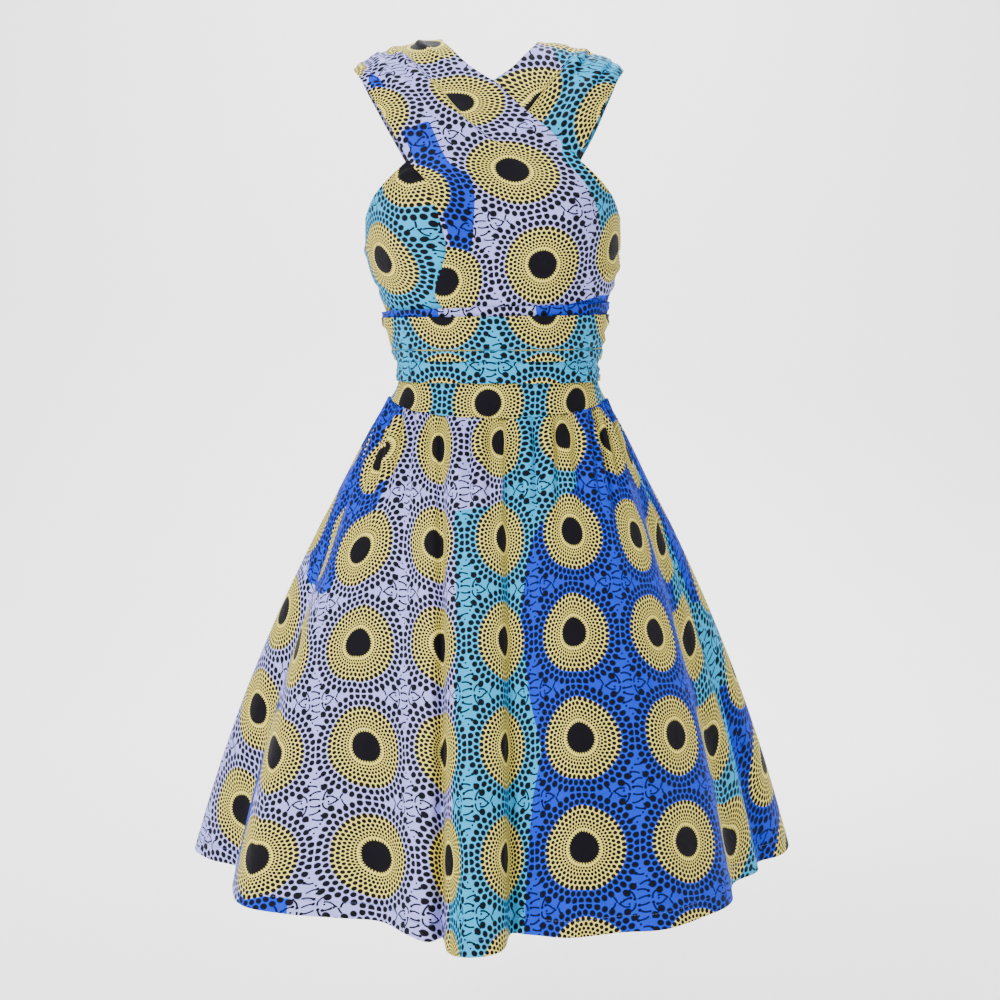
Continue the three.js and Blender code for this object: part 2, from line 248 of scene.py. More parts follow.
def form(turn, drop, out):
    """Points on the body form, `out` mm off it. turn: degrees from centre front."""
    turn, drop, out = np.broadcast_arrays(*(np.asarray(v, float) for v in (turn, drop, out)))
    turn = np.where(turn > 180, turn - 360, turn)
    behind = np.abs(turn) > 90
    drop = np.where(behind, -drop, drop)
    turn = np.radians(np.where(behind, np.sign(turn) * 180 - turn, turn))
    body = {name: along(BODY["drop"], BODY[name], drop) for name in BODY if name != "drop"}
    face = np.radians(body["facing"])
    ny, nz = -np.cos(face), np.sin(face)
    s, c = np.sin(turn), np.cos(turn)
    x = body["half"] * power(s, 2 / SECTION) + body["mid"]
    fall = body["round"] * (1 - power(c, 2 / SECTION))
    cups = bell(x, BUST["side"], BUST["wide"]) + bell(x, -BUST["side"], BUST["wide"])
    cups = cups * bell(drop, BUST["drop"], BUST["tall"]) * (drop > 0)
    lift = out + BUST["out"] * cups
    return np.stack([x + s * lift, body["reach"] - ny * fall + ny * c * lift,
                     body["rise"] - nz * fall + nz * c * lift], axis=-1)


def grid(u, v):
    """u along the rows, v down the columns."""
    return np.meshgrid(u, v)


def normals(points, side):
    across = np.gradient(points, axis=1)
    down = np.gradient(points, axis=0)
    n = np.cross(across, down) * side
    return n / np.linalg.norm(n, axis=-1, keepdims=True)


def arc(points, axis):
    """Length along the cloth from its first row or column."""
    step = np.linalg.norm(np.diff(points, axis=axis), axis=-1)
    start = np.zeros_like(np.take(step, [0], axis=axis))
    return np.cumsum(np.concatenate([start, step], axis=axis), axis=axis)


def centred(points):
    """Length along each row, counted so that the middle column lies straight."""
    length = arc(points, 1)
    middle = length.shape[1] // 2
    return length - length[:, [middle]] + length[length.shape[0] // 2, middle]


def strap_points(rows, hand, layer, u, v):
    step = np.linspace(0, 1, len(rows["neckTurn"]))
    at = {name: along(step, rows[name], u) for name in rows}
    way = np.sign(rows["neckDrop"][1])
    lift = np.full(u.shape, layer * PLY, float)
    ends = STRAP_FOLDS["over" if layer else "under"]
    for across, wide, rise, end in zip(STRAP_FOLDS["across"], STRAP_FOLDS["wide"],
                                       STRAP_FOLDS["rise"], ends):
        lift = lift + rise * (1 - soft(end * 0.4, end, u)) * bell(v, across, wide)
    turn = mix(at["neckTurn"], at["outTurn"], v) * hand
    drop = mix(at["neckDrop"], at["outDrop"], v) + SEAM * (1 - u) ** 6 * way
    return form(turn, drop, lift)


def wrap_points(w, u, v):
    start, end = w["ends"]
    gap = 1.4 * SEAM * np.sign(end - start)
    turn = mix(start + gap, end - gap, u)
    lie = mix(w["layer"][0], w["layer"][1], soft(w["climb"][0], w["climb"][1], u))
    fold = 0.5 - 0.5 * np.cos(v * pi * 6 + np.sin(u * 5))
    drop = mix(mix(*w["top"], u), mix(*w["foot"], u), v)
    return form(turn, drop, lie * PLY + w["roll"] * fold)


def seam_drop(turn):
    return SEAM_SIDE + SEAM_DIP * np.maximum(0, np.cos(np.radians(turn))) ** 1.5


def band_points(ends, u, v):
    turn = mix(ends[0], ends[1], u)
    return form(turn, mix(BAND_TOP, seam_drop(turn), v), PLY)


def skirt_points(folds, pitch, rise, u, v):
    hem = np.hypot(np.diff(folds["x"]), np.diff(folds["out"]))
    run = np.concatenate([[0], np.cumsum(hem + RUN_PER_DEGREE * np.diff(folds["turn"]))])
    s = mix(SIDE_GAP, run[-1] - SIDE_GAP, u)
    at = {name: along(run, folds[name], s) for name in folds}
    turn = at["turn"]
    top = seam_drop(turn) + 2 * SEAM
    waist = form(turn, top, PLY)
    fall = v * (1 + 0.38 * (1 - v))
    below = v * (HEM - top)
    lap = turn / pitch * 2 * pi + 0.9 * np.sin(turn * 0.11)
    ease = (0.25 + 0.75 * soft(0, 26, below)) * (1 - soft(30, GATHER_FADE, below))
    ripple = rise * ease * np.sin(lap)
    a = np.radians(turn)
    return np.stack([mix(waist[..., 0], at["x"], fall) + np.sin(a) * ripple,
                     mix(waist[..., 1], -at["out"], fall) - np.cos(a) * ripple,
                     -top - v * (HEM + at["dip"] - top)], axis=-1)


# ---- flat cloth ---------------------------------------------------------------------
PITCH = 110.0                # pitch of the printed discs on the flat cloth


def lay_flat(points, rounds=600):
    """Flat layout of a grid of cloth, with every side as near its own length as it goes."""
    flat = np.stack([arc(points, 0), arc(points, 1)], axis=-1)
    rows, cols = flat.shape[:2]
    pairs = []
    for dj, di in ((0, 1), (1, 0), (1, 1), (1, -1)):
        a = (slice(0, rows - dj), slice(max(0, -di), cols - max(0, di)))
        b = (slice(dj, rows), slice(max(0, di), cols + min(0, di)))
        want = np.linalg.norm(points[b] - points[a], axis=-1, keepdims=True)
        pairs.append((a, b, want))
    for _ in range(rounds):
        move = np.zeros_like(flat)
        for a, b, want in pairs:
            d = flat[b] - flat[a]
            now = np.linalg.norm(d, axis=-1, keepdims=True)
            push = d * (1 - want / now) * 0.5
            move[a] += push
            move[b] -= push
        flat = flat + move / 4
    return flat


def finer(coarse, u, v):
    """Reads an evenly spaced grid at u and v, straight between its points."""
    rows, cols = coarse.shape[:2]
    x, y = u * (cols - 1), v * (rows - 1)
    i = np.clip(x.astype(int), 0, cols - 2)
    j = np.clip(y.astype(int), 0, rows - 2)
    fx, fy = (x - i)[..., None], (y - j)[..., None]
    return (mix(coarse[j, i], coarse[j, i + 1], fx) * (1 - fy)
            + mix(coarse[j + 1, i], coarse[j + 1, i + 1], fx) * fy)


def kernel(a, b):
    return np.linalg.norm(a[..., None, :] - b, axis=-1)


def pin(flat, u, v, pins):
    """Turns and eases the layout so that the disc `along`, `across` sits at each pin."""
    pins = np.array(pins, float)
    spots = []
    for at in pins:
        k = np.argmin((u - at[0]) ** 2 + (v - at[1]) ** 2)
        spots.append(flat.reshape(-1, 2)[k])
    spots = np.array(spots)
    want = np.stack([pins[:, 3], pins[:, 2]], axis=-1) * PITCH
    down = (spots[1] - spots[0]) / np.linalg.norm(spots[1] - spots[0])
    left = np.array([down[1], -down[0]])
    turned = (flat - spots[0]) @ np.stack([left, down], axis=1)
    held = (spots - spots[0]) @ np.stack([left, down], axis=1)
    terms = np.linalg.solve(kernel(held, held), want - held)
    return turned + kernel(turned, held) @ terms


# ---- geometry end -------------------------------------------------------------------


# ---- cloth meshes -------------------------------------------------------------------
def slab(name, cols, rows):
    """Flat closed slab of squares, which a sheet of cloth is then shaped from."""
    bm = bmesh.new()
    bmesh.ops.create_grid(bm, x_segments=cols, y_segments=rows, size=1.0)
    bmesh.ops.solidify(bm, geom=bm.faces[:], thickness=0.1)
    bmesh.ops.recalc_face_normals(bm, faces=bm.faces[:])
    mesh = bpy.data.meshes.new(name)
    bm.to_mesh(mesh)
    bm.free()
    return mesh


def read_slab(mesh, cols, rows):
    """Column, row and upper or lower side of each of the slab's points."""
    co = np.empty(len(mesh.vertices) * 3)
    mesh.vertices.foreach_get("co", co)
    co = co.reshape(-1, 3)
    i = np.rint((co[:, 0] + 1) / 2 * cols).astype(int)
    j = np.rint((co[:, 1] + 1) / 2 * rows).astype(int)
    return i, j, co[:, 2] > co[:, 2].mean()


def put_uv(mesh, name, values):
    layer = mesh.uv_layers.new(name=name)
    layer.data.foreach_set("uv", np.ascontiguousarray(values, np.float32).ravel())


def bake_layout(mesh, i, j, upper, cols, rows):
    """Each face of the sheet in its own half of the square, and its rim between them."""
    loops = np.empty(len(mesh.loops), int)
    mesh.loops.foreach_get("vertex_index", loops)
    x = 0.01 + 0.98 * i[loops] / cols
    y = 0.01 + 0.46 * j[loops] / rows + np.where(upper[loops], 0.0, 0.52)
    corner = loops.reshape(-1, 4)
    rim = upper[corner].any(1) & ~upper[corner].all(1)
    ri, rj = i[corner[rim]], j[corner[rim]]
    sides = ((rj == 0).all(1), (ri == cols).all(1), (rj == rows).all(1), (ri == 0).all(1))
    place = np.zeros(ri.shape)
    for k, side in enumerate(sides):
        share = ri / cols if k % 2 == 0 else rj / rows
        place = np.where(side[:, None], 0.01 + 0.245 * k + 0.24 * share, place)
    x.reshape(-1, 4)[rim] = place
    y.reshape(-1, 4)[rim] = np.where(upper[corner[rim]], 0.49, 0.51)
    put_uv(mesh, "OFBake", np.stack([x, y], axis=-1))


def cloth(name, slot, points, side, layout, fields=None, wall=WALL, lift=LIFT):
    """One sheet on a grid of points. layout: each point's place on the flat cloth, in mm."""
    rows, cols = points.shape[0] - 1, points.shape[1] - 1
    n = normals(points, side)
    thick = wall if np.ndim(wall) == 0 else wall[..., None]
    outer, inner = points + n * (lift + thick), points + n * lift
    if side < 0:
        flip = slice(None, None, -1)
        outer, inner, layout = outer[:, flip], inner[:, flip], layout[:, flip]
        fields = {k: f[:, flip] for k, f in (fields or {}).items()}
    mesh = slab(name, cols, rows)
    i, j, upper = read_slab(mesh, cols, rows)
    co = np.where(upper[:, None], outer[j, i], inner[j, i]) * MM
    mesh.vertices.foreach_set("co", co.ravel())
    loops = np.empty(len(mesh.loops), int)
    mesh.loops.foreach_get("vertex_index", loops)
    flat = layout[j, i] * MM
    put_uv(mesh, "cloth", flat[loops])
    bake_layout(mesh, i, j, upper, cols, rows)
    for key, f in (fields or {}).items():
        mesh.attributes.new(key, "FLOAT", "POINT").data.foreach_set(
            "value", np.ascontiguousarray(f[j, i], np.float32))
    mesh.attributes.new("wrong_side", "FLOAT", "POINT").data.foreach_set(
        "value", np.where(upper, 0.0, 1.0).astype(np.float32))
    mesh.polygons.foreach_set("use_smooth", np.ones(len(mesh.polygons), bool))
    mesh.set_sharp_from_angle(angle=radians(60))
    mesh.update()
    obj = bpy.data.objects.new(name, mesh)
    bpy.context.scene.collection.objects.link(obj)
    mesh.materials.append(COTTON[slot])
    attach(obj, "root")
    return obj


def ridges(u, v, size, rows):
    """Height of soft ridges and troughs, each from one place on the sheet to another."""
    at = np.stack([u * size[0], v * size[1]], axis=-1)
    height = np.zeros_like(u)
    for from_u, from_v, to_u, to_v, wide, rise in rows:
        start = np.array([from_u * size[0], from_v * size[1]])
        way = np.array([to_u * size[0], to_v * size[1]]) - start
        t = np.clip((at - start) @ way / (way @ way), 0, 1)
        far = np.linalg.norm(at - start - t[..., None] * way, axis=-1)
        height += rise * np.exp(-(far / wide) ** 2) * (1 - 0.7 * t ** 2)
    return height


def raised(points, side, height):
    return points + normals(points, side) * height[..., None]


def make_thread():
    """Matt sewing thread, a little uneven in colour."""
    material = bpy.data.materials.new("thread")
    material.use_nodes = True
    g = Graph(material.node_tree)
    place = g.node("ShaderNodeTexCoord").outputs["Object"]
    shader = material.node_tree.nodes["Principled BSDF"]
    g.feed(shader.inputs["Base Color"], g.blend(g.noise(place, 900.0), (0.10, 0.14, 0.40, 1),
                                                (0.05, 0.07, 0.24, 1)))
    shader.inputs["Roughness"].default_value = 0.75
    return material


def stitches(name, points, side, row, pitch=3.2, size=(2.2, 0.45, 0.35)):
    """Row of stitches along one row of the sheet's points, joined in one mesh."""
    line = points[row] + normals(points, side)[row] * (LIFT + WALL + 0.2)
    out = normals(points, side)[row]
    length = arc(line[None], 1)[0]
    bm = bmesh.new()
    for at in np.arange(pitch, length[-1] - pitch, pitch):
        here, ahead, up = (np.array([np.interp(at + step, length, rail[:, k])
                                     for k in range(3)])
                           for step, rail in ((0, line), (1, line), (0, out)))
        way = Vector(ahead - here).normalized()
        up = Vector(up).normalized()
        over = up.cross(way).normalized()
        turn = Matrix((way * size[0], over * size[1], way.cross(over) * size[2])).transposed()
        bmesh.ops.create_cube(bm, size=MM, matrix=Matrix.Translation(Vector(here) * MM)
                              @ turn.to_4x4())
    bmesh.ops.recalc_face_normals(bm, faces=bm.faces[:])
    mesh = bpy.data.meshes.new(name)
    bm.to_mesh(mesh)
    bm.free()
    mesh.materials.append(THREAD)
    obj = bpy.data.objects.new(name, mesh)
    bpy.context.scene.collection.objects.link(obj)
    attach(obj, "root")


def inside(polygon, at):
    """Distance in mm to the polygon's edge, positive inside it."""
    poly = np.asarray(polygon, float)
    nearest = np.full(at.shape[:-1], 1e9)
    crossed = np.zeros(at.shape[:-1], bool)
    for a, b in zip(poly, np.roll(poly, -1, axis=0)):
        edge = b - a
        t = np.clip(((at - a) @ edge) / max(edge @ edge, 1e-9), 0, 1)
        nearest = np.minimum(nearest, np.linalg.norm(at - a - t[..., None] * edge, axis=-1))
        over = (a[1] > at[..., 1]) != (b[1] > at[..., 1])
        with np.errstate(divide="ignore", invalid="ignore"):
            cut = a[0] + (at[..., 1] - a[1]) / (b[1] - a[1]) * edge[0]
        crossed ^= over & (at[..., 0] < cut)
    return np.where(crossed, nearest, -nearest)


BEYOND = 800.0               # mm of cloth counted for each whole width or drop past an edge


def grounds(patches, layout, u, v):
    """Distance fields of the ground colours on one sheet: a later patch lies over the rest."""
    fields = {}
    for colour, corners in patches:
        spots = []
        for at_u, at_v in corners:
            k = np.argmin((u - at_u) ** 2 + (v - at_v) ** 2)
            over = np.array([at_u - u.flat[k], at_v - v.flat[k]])
            spots.append(layout.reshape(-1, 2)[k] + np.round(over, 2) * BEYOND)
        field = np.clip(inside(spots, layout), -30, 30)
        for other in fields:
            fields[other] = np.minimum(fields[other], -field)
        fields[colour] = np.maximum(fields[colour], field) if colour in fields else field
    return fields


# ---- printed cotton -----------------------------------------------------------------
INK = (0.004, 0.0035, 0.007, 1)
YELLOW = (1.0, 0.86, 0.17, 1)
GROUND = {
    "blue": (0.004, 0.045, 0.70, 1),
    "aqua": (0.02, 0.43, 0.78, 1),
    "lavender": (0.46, 0.46, 1.0, 1),
}
DISC = 42.0                  # radius of a yellow disc, mm
CENTRE = 16.4                # radius of its dark centre
TEETH = 44                   # dots in every ring
CENTRE_TEETH = 36            # teeth round the dark centre
FIRST_RING = 20.3
RING_STEP = 1.1457           # each ring of dots is this much larger than the one inside it


class Graph:
    """Short names for the nodes of one tree."""

    def __init__(self, tree):
        self.nodes = tree.nodes
        self.links = tree.links

    def node(self, kind, **values):
        node = self.nodes.new(kind)
        for key, value in values.items():
            setattr(node, key, value)
        return node

    def feed(self, socket, value):
        if isinstance(value, bpy.types.NodeSocket):
            self.links.new(value, socket)
        else:
            socket.default_value = value

    def math(self, operation, *values, clamp=False):
        node = self.node("ShaderNodeMath", operation=operation, use_clamp=clamp)
        for socket, value in zip(node.inputs, values):
            self.feed(socket, value)
        return node.outputs[0]

    def vector(self, operation, *values):
        node = self.node("ShaderNodeVectorMath", operation=operation)
        for socket, value in zip(node.inputs, values):
            self.feed(socket, value)
        return node.outputs["Value" if operation == "LENGTH" else "Vector"]

    def split(self, vector):
        node = self.node("ShaderNodeSeparateXYZ")
        self.feed(node.inputs[0], vector)
        return node.outputs

    def join(self, x, y):
        node = self.node("ShaderNodeCombineXYZ")
        self.feed(node.inputs[0], x)
        self.feed(node.inputs[1], y)
        return node.outputs[0]

    def blend(self, factor, a, b, kind="MIX"):
        node = self.node("ShaderNodeMix", data_type="RGBA", blend_type=kind)
        self.feed(node.inputs["Factor"], factor)
        self.feed(node.inputs[6], a)
        self.feed(node.inputs[7], b)
        return node.outputs[2]

    def noise(self, vector, scale, detail=2.0):
        node = self.node("ShaderNodeTexNoise", noise_dimensions="2D")
        self.feed(node.inputs["Vector"], vector)
        node.inputs["Scale"].default_value = scale
        node.inputs["Detail"].default_value = detail
        return node.outputs[0]

    def group(self, tree, **values):
        node = self.node("ShaderNodeGroup")
        node.node_tree = tree
        for key, value in values.items():
            self.feed(node.inputs[key.replace("_", " ")], value)
        return node.outputs


def new_group(name, inputs, outputs):
    tree = bpy.data.node_groups.new(name, "ShaderNodeTree")
    for key, kind in inputs:
        tree.interface.new_socket(key, in_out="INPUT", socket_type=kind)
    for key, kind in outputs:
        tree.interface.new_socket(key, in_out="OUTPUT", socket_type=kind)
    g = Graph(tree)
    return tree, g, g.node("NodeGroupInput").outputs, g.node("NodeGroupOutput").inputs


FLOAT, COLOUR, VECTOR = "NodeSocketFloat", "NodeSocketColor", "NodeSocketVector"


def make_stroke():
    """A short curved stroke of ink with a round blob at one end. All in mm."""
    tree, g, given, out = new_group(
        "ink_stroke",
        [("At", VECTOR), ("Middle", VECTOR), ("Turn", FLOAT), ("Radius", FLOAT),
         ("Half", FLOAT), ("Width", FLOAT), ("Blob", FLOAT)],
        [("Ink", FLOAT)])
    away = g.vector("SUBTRACT", given["At"], given["Middle"])
    turned = g.node("ShaderNodeVectorRotate", rotation_type="Z_AXIS")
    g.feed(turned.inputs["Vector"], away)
    g.feed(turned.inputs["Angle"], g.math("MULTIPLY", given["Turn"], -1.0))
    x, y, _ = g.split(turned.outputs[0])
    angle = g.math("ARCTAN2", g.math("ABSOLUTE", y), x)
    on = g.math("LESS_THAN", angle, given["Half"])
    far = g.math("ABSOLUTE", g.math("SUBTRACT", g.vector("LENGTH", turned.outputs[0]),
                                    given["Radius"]))
    tip = g.join(g.math("MULTIPLY", given["Radius"], g.math("COSINE", given["Half"])),
                 g.math("MULTIPLY", given["Radius"], g.math("SINE", given["Half"])))
    end = g.vector("LENGTH", g.vector("SUBTRACT", g.join(x, y), tip))
    line = g.math("ADD", g.math("MULTIPLY", on, far),
                  g.math("MULTIPLY", g.math("SUBTRACT", 1.0, on), 50.0))
    stroke = g.math("SUBTRACT", given["Width"], line)
    blob = g.math("SUBTRACT", given["Blob"], end)
    both = g.math("MAXIMUM", stroke, blob)
    g.feed(out["Ink"], g.math("MULTIPLY_ADD", both, 3.0, 0.5, clamp=True))
    return tree


# Strokes in one half of the gap at the corner of four discs, which a half turn fills
# again: middle of the stroke, way that it bulges, radius and length.
STROKES = (
    (0.5, 4.0, 1.4, 15.0, 10.0),
    (9.5, 7.5, 2.7, 12.0, 10.0),
    (-9.0, 6.5, 0.6, 7.0, 11.0),
    (0.5, 11.5, 1.8, 12.0, 11.0),
    (-1.5, 18.5, 1.3, 16.0, 10.0),
    (1.5, 26.0, -1.4, 9.0, 8.0),
    (16.5, 3.5, 1.1, 9.0, 9.0),
    (25.5, 2.5, 2.7, 14.0, 8.0),
    (-18.0, 4.0, 1.9, 8.0, 11.0),
    (-27.0, 2.5, 0.4, 9.0, 8.0),
)
SPECKS = (
    (-6.0, 14.5, 1.2), (12.5, 12.0, 1.1), (-13.5, 1.5, 1.1), (7.0, 17.5, 1.2),
    (21.0, 0.5, 1.1), (-22.5, 0.5, 1.0), (-4.5, 23.0, 1.1), (1.5, 32.0, 1.0),
)
STROKE_WIDTH = 0.85          # half the width of a stroke
BLOB = 1.55                  # radius of its round end


def make_print(stroke):
    """Mask of the dark ink and mask of the yellow discs, from the place on the cloth."""
    tree, g, given, out = new_group(
        "wax_print", [("Cloth", VECTOR)], [("Ink", FLOAT), ("Disc", FLOAT)])
    place = g.vector("MULTIPLY", given["Cloth"], (1 / MM, 1 / MM, 0))
    wobble = g.math("MULTIPLY_ADD", g.noise(place, 0.05), 1.6, -0.8)
    place = g.vector("ADD", place, g.join(wobble, wobble))
    unit = g.vector("MULTIPLY", place, (1 / PITCH, 1 / PITCH, 0))
    x, y, _ = g.split(unit)

    def local(value, shift):
        moved = g.math("ADD", value, shift)
        whole = g.math("ROUND", moved)
        return g.math("MULTIPLY", g.math("SUBTRACT", moved, whole), PITCH), whole

    qx, _ = local(x, 0.0)
    qy, _ = local(y, 0.0)
    q = g.join(qx, qy)
    r = g.vector("LENGTH", q)
    lap = g.math("MULTIPLY", g.math("ARCTAN2", qy, qx), TEETH / (2 * pi))
    ring = g.math("DIVIDE", g.math("LOGARITHM", g.math("DIVIDE", r, FIRST_RING), 2.718282),
                  float(np.log(RING_STEP)))
    k = g.math("ROUND", ring)
    odd = g.math("MULTIPLY", g.math("FLOORED_MODULO", k, 2.0), 0.5)
    turn = g.math("ADD", lap, odd)
    a = g.math("DIVIDE", g.math("SUBTRACT", turn, g.math("ROUND", turn)), 0.39)
    b = g.math("DIVIDE", g.math("SUBTRACT", ring, k), 0.46)
    far = g.math("ADD", g.math("MULTIPLY", a, a), g.math("MULTIPLY", b, b))
    dot = g.math("MULTIPLY_ADD", far, -2.2, 2.7, clamp=True)
    widest = g.math("MAXIMUM", g.math("ABSOLUTE", qx), g.math("ABSOLUTE", qy))
    least = g.math("MINIMUM", g.math("ABSOLUTE", qx), g.math("ABSOLUTE", qy))
    inner = g.math("GREATER_THAN", k, -0.5)
    near = g.math("LESS_THAN", k, 7.5)
    corner = g.math("MULTIPLY", g.math("LESS_THAN", k, 8.5), g.math("GREATER_THAN", least, 36.0))
    ranged = g.math("MULTIPLY", inner, g.math("MAXIMUM", near, corner))
    ranged = g.math("MULTIPLY", ranged, g.math("LESS_THAN", widest, 54.2))
    dots = g.math("MULTIPLY", dot, ranged)
    tooth = g.math("PINGPONG", g.math("MULTIPLY", lap, CENTRE_TEETH / TEETH), 0.5)
    edge = g.math("MULTIPLY_ADD", g.math("MULTIPLY", tooth, tooth), 14.0, CENTRE - 1.1)
    middle = g.math("MULTIPLY_ADD", g.math("SUBTRACT", edge, r), 1.6, 0.5, clamp=True)
    g.feed(out["Disc"], g.math("MULTIPLY_ADD", g.math("SUBTRACT", DISC, r), 2.0, 0.5,
                               clamp=True))
    cx, wx = local(x, 0.5)
    cy, wy = local(y, 0.5)
    flip = g.math("MULTIPLY_ADD", g.math("FLOORED_MODULO", g.math("ADD", wx, wy), 2.0),
                  -2.0, 1.0)
    half_turn = g.math("SIGN", cy)
    at = g.join(g.math("MULTIPLY", cx, g.math("MULTIPLY", flip, half_turn)),
                g.math("MULTIPLY", cy, half_turn))
    ink = g.math("MAXIMUM", dots, middle)
    for mx, my, turned, radius, length in STROKES:
        middle = (mx - radius * np.cos(turned), my - radius * np.sin(turned), 0)
        drawn = g.group(stroke, At=at, Middle=middle, Turn=turned, Radius=radius,
                        Half=length / 2 / radius, Width=STROKE_WIDTH, Blob=BLOB)
        ink = g.math("MAXIMUM", ink, drawn[0])
    for mx, my, radius in SPECKS:
        far = g.vector("LENGTH", g.vector("SUBTRACT", at, (mx, my, 0)))
        ink = g.math("MAXIMUM", ink, g.math("MULTIPLY_ADD", g.math("SUBTRACT", radius, far),
                                            2.5, 0.5, clamp=True))
    g.feed(out["Ink"], ink)
    return tree


def make_weave():
    """Height of a plain weave and of the small creases of worn cotton."""
    tree, g, given, out = new_group("cotton_weave", [("Cloth", VECTOR)], [("Height", FLOAT)])
    place = g.vector("MULTIPLY", given["Cloth"], (1 / MM, 1 / MM, 0))
    x, y, _ = g.split(place)
    warp = g.math("SINE", g.math("MULTIPLY", x, 2 * pi / 0.62))
    weft = g.math("SINE", g.math("MULTIPLY", y, 2 * pi / 0.62))
    threads = g.math("MULTIPLY", g.math("MULTIPLY", warp, weft), 0.05)
    creases = g.math("MULTIPLY", g.noise(place, 0.035, 3.0), 2.4)
    small = g.math("MULTIPLY", g.noise(place, 0.16, 2.0), 0.35)
    g.feed(out["Height"], g.math("ADD", threads, g.math("ADD", creases, small)))
    return tree


def make_cotton(slot, ground, wax_print, weave):
    """Cotton printed on both sides. Fields on the sheet say where another ground shows."""
    material = bpy.data.materials.new(slot)
    material.use_nodes = True
    material.node_tree.nodes.clear()
    g = Graph(material.node_tree)
    place = g.node("ShaderNodeUVMap", uv_map="cloth").outputs[0]
    colour = GROUND[ground]
    edge = g.math("MULTIPLY_ADD", g.noise(place, 60.0), 2.0, -1.0)
    for other in GROUND:
        field = g.node("ShaderNodeAttribute", attribute_name=other).outputs["Fac"]
        shown = g.math("MULTIPLY", field, 2.5)
        shown = g.math("ADD", shown, g.math("MULTIPLY", edge, g.math(
            "GREATER_THAN", g.math("ABSOLUTE", field), 0.001)), clamp=True)
        colour = g.blend(shown, colour, GROUND[other])
    mottle = g.math("MULTIPLY_ADD", g.noise(place, 90.0, 4.0), 0.24, 0.88)
    tint = g.node("ShaderNodeCombineColor")
    for socket in tint.inputs:
        g.feed(socket, mottle)
    colour = g.blend(1.0, colour, tint.outputs[0], "MULTIPLY")
    marks = g.group(wax_print, Cloth=place)
    yellow = g.blend(g.noise(place, 25.0), YELLOW, (0.95, 0.78, 0.15, 1))
    colour = g.blend(marks["Disc"], colour, yellow)
    colour = g.blend(marks["Ink"], colour, INK)
    wrong = g.node("ShaderNodeAttribute", attribute_name="wrong_side").outputs["Fac"]
    colour = g.blend(g.math("MULTIPLY", wrong, 0.18), colour, (0.20, 0.19, 0.24, 1))
    shader = g.node("ShaderNodeBsdfPrincipled")
    g.feed(shader.inputs["Base Color"], colour)
    g.feed(shader.inputs["Roughness"], g.math("MULTIPLY_ADD", marks["Ink"], -0.10, 0.80))
    shader.inputs["Specular IOR Level"].default_value = 0.10
    shader.inputs["Sheen Weight"].default_value = 0.02
    shader.inputs["Sheen Roughness"].default_value = 0.5
    bump = g.node("ShaderNodeBump")
    bump.inputs["Strength"].default_value = 0.8
    bump.inputs["Distance"].default_value = 0.001
    g.feed(bump.inputs["Height"], g.group(weave, Cloth=place)["Height"])
    g.feed(shader.inputs["Normal"], bump.outputs[0])
    out = g.node("ShaderNodeOutputMaterial")
    g.feed(out.inputs["Surface"], shader.outputs[0])
    return material


WAX_PRINT = make_print(make_stroke())
WEAVE = make_weave()
THREAD = make_thread()
COTTON = {"print_" + name: make_cotton("print_" + name, name, WAX_PRINT, WEAVE)
          for name in GROUND}


# ---- camera, floor and light --------------------------------------------------------
CAMERA_TILT = 6.2            # degrees that the camera looks down
def add_camera():
    data = bpy.data.cameras.new("camera")
    data.lens = 65.05
    data.sensor_width = 36.0
    data.clip_end = 60.0
    camera = bpy.data.objects.new("camera", data)
    camera.location = (0.008, -2.05, -0.288)
    camera.rotation_euler = (radians(90 - CAMERA_TILT), 0, 0)
    bpy.context.scene.collection.objects.link(camera)
    bpy.context.scene.camera = camera


FLOOR = {"half_wide": 9.0, "half_deep": 5.5, "forward": -0.5, "level": -1.30,
         "rise": 7.0, "bend": 3.0, "bend_steps": 24}


def add_floor():
    """Plain sheet of pale paper that sweeps up behind."""
    bm = bmesh.new()
    bmesh.ops.create_grid(bm, x_segments=1, y_segments=1, size=1.0)
    bmesh.ops.scale(bm, verts=bm.verts[:],
                     vec=(FLOOR["half_wide"], FLOOR["half_deep"], 1.0))
    bmesh.ops.translate(bm, verts=bm.verts[:], vec=(0, FLOOR["forward"], FLOOR["level"]))
    back = FLOOR["forward"] + FLOOR["half_deep"]
    far = [e for e in bm.edges if min(v.co.y for v in e.verts) > back - 0.1]
    wall = bmesh.ops.extrude_edge_only(bm, edges=far)
    rise = [v for v in wall["geom"] if isinstance(v, bmesh.types.BMVert)]
    bmesh.ops.translate(bm, verts=rise, vec=(0, 0, FLOOR["rise"]))
    bmesh.ops.bevel(bm, geom=far, offset=FLOOR["bend"], offset_type="OFFSET",
                    segments=FLOOR["bend_steps"], profile=0.5, affect="EDGES", material=-1)
    mesh = bpy.data.meshes.new("floor")
    bm.to_mesh(mesh)
    bm.free()
    mesh.polygons.foreach_set("use_smooth", np.ones(len(mesh.polygons), bool))
    floor = bpy.data.objects.new("floor", mesh)
    bpy.context.scene.collection.objects.link(floor)
    material = bpy.data.materials.new("floor_paper")
    material.use_nodes = True
    g = Graph(material.node_tree)
    shader = material.node_tree.nodes["Principled BSDF"]
    place = g.node("ShaderNodeTexCoord").outputs["Object"]
    g.feed(shader.inputs["Base Color"], g.blend(g.noise(place, 1.5), (0.93, 0.93, 0.93, 1),
                                                (0.96, 0.96, 0.96, 1)))
    shader.inputs["Roughness"].default_value = 0.9
    mesh.materials.append(material)


def add_light(name, place, aim, size, watts):
    data = bpy.data.lights.new(name, "AREA")
    data.shape = "DISK"
    data.size = size
    data.energy = watts
    light = bpy.data.objects.new(name, data)
    light.location = place
    way = Vector(aim) - Vector(place)
    light.rotation_euler = way.to_track_quat("-Z", "Y").to_euler()
    bpy.context.scene.collection.objects.link(light)


